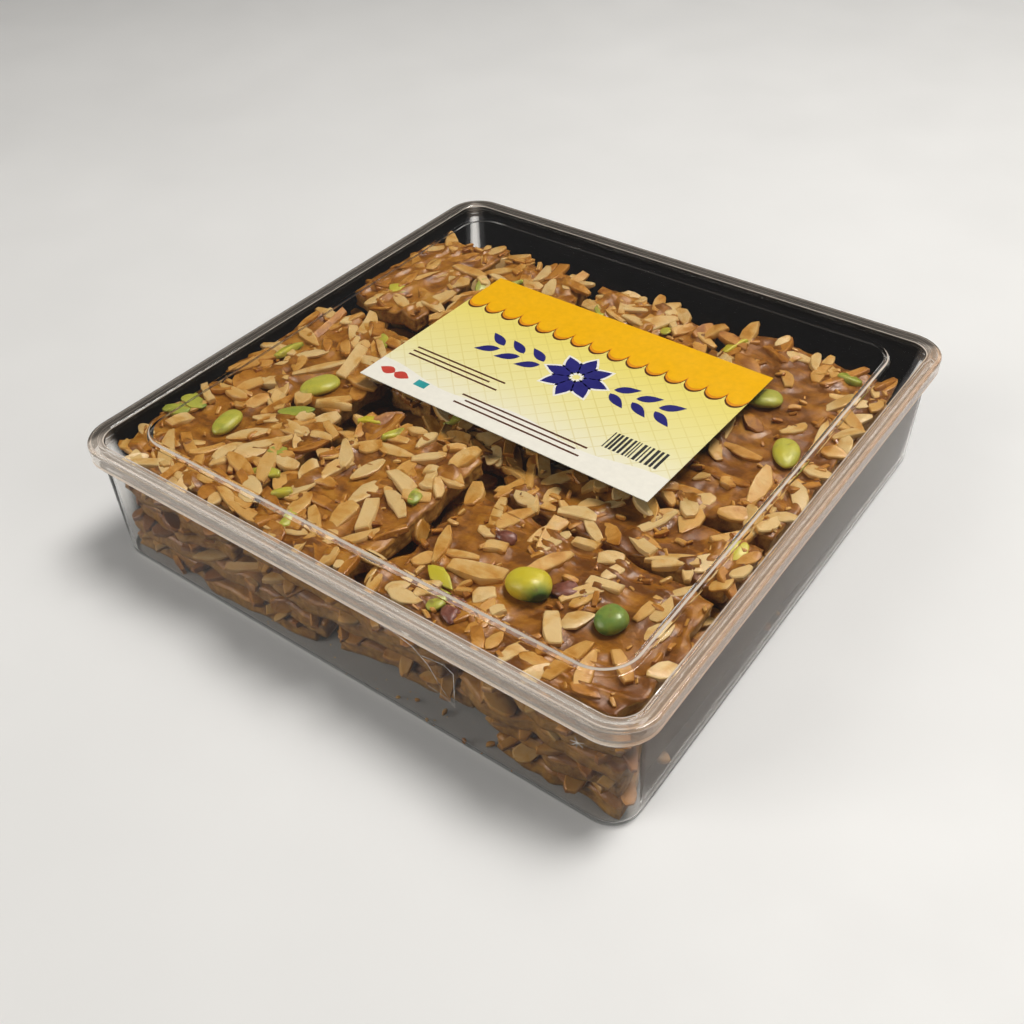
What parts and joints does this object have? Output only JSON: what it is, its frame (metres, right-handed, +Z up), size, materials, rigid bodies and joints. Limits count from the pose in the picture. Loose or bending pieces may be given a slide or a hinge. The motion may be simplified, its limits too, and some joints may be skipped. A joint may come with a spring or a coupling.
{
  "type": "boxed sohan",
  "caption": "Square shut clear plastic box of sohan: thin caramel slabs set with slivered almonds and pistachios, stacked in layers, with a paper label on the lid.",
  "frame": {"origin": "middle of the tray's underside, on the surface that it stands on", "axes": "+Z up; -Y is the front, the side the label reads from; +X to the right"},
  "size_m": [0.22, 0.22, 0.0505],
  "materials": {
    "clear_plastic": "clear rigid polystyrene, glossy",
    "label_paper": null,
    "sohan_caramel": "glossy set caramel brittle with toasted almond slivers",
    "pistachio": "dry pistachio kernel"
  },
  "bodies": {
    "root": {"label": "label_paper", "lid": "clear_plastic", "pistachio_green": "pistachio", "pistachio_half_back": "pistachio", "pistachio_half_front": "pistachio", "pistachio_half_left": "pistachio", "pistachio_half_right": "pistachio", "pistachio_whole": "pistachio", "slab_layer1_lb": "sohan_caramel", "slab_layer1_lf": "sohan_caramel", "slab_layer1_lm": "sohan_caramel", "slab_layer1_mb": "sohan_caramel", "slab_layer1_mf": "sohan_caramel", "slab_layer1_mm": "sohan_caramel", "slab_layer1_rb": "sohan_caramel", "slab_layer1_rf": "sohan_caramel", "slab_layer1_rm": "sohan_caramel", "slab_layer2_lb": "sohan_caramel", "slab_layer2_lf": "sohan_caramel", "slab_layer2_lm": "sohan_caramel", "slab_layer2_mb": "sohan_caramel", "slab_layer2_mf": "sohan_caramel", "slab_layer2_mm": "sohan_caramel", "slab_layer2_rb": "sohan_caramel", "slab_layer2_rf": "sohan_caramel", "slab_layer2_rm": "sohan_caramel", "slab_layer3_lb": "sohan_caramel", "slab_layer3_lf": "sohan_caramel", "slab_layer3_lm": "sohan_caramel", "slab_layer3_mb": "sohan_caramel", "slab_layer3_mf": "sohan_caramel", "slab_layer3_mm": "sohan_caramel", "slab_layer3_rb": "sohan_caramel", "slab_layer3_rf": "sohan_caramel", "slab_layer3_rm": "sohan_caramel", "slab_layer4_lb": "sohan_caramel", "slab_layer4_lf": "sohan_caramel", "slab_layer4_lm": "sohan_caramel", "slab_layer4_mb": "sohan_caramel", "slab_layer4_mf": "sohan_caramel", "slab_layer4_mm": "sohan_caramel", "slab_layer4_rb": "sohan_caramel", "slab_layer4_rf": "sohan_caramel", "slab_layer4_rm": "sohan_caramel", "slab_top_back_left": "sohan_caramel", "slab_top_back_middle": "sohan_caramel", "slab_top_back_middle_left": "sohan_caramel", "slab_top_centre": "sohan_caramel", "slab_top_centre_left": "sohan_caramel", "slab_top_centre_right": "sohan_caramel", "slab_top_front_left": "sohan_caramel", "slab_top_front_middle": "sohan_caramel", "slab_top_front_right": "sohan_caramel", "slab_top_left_middle": "sohan_caramel", "slab_top_right": "sohan_caramel", "tray": "clear_plastic"}
  },
  "joints": []
}
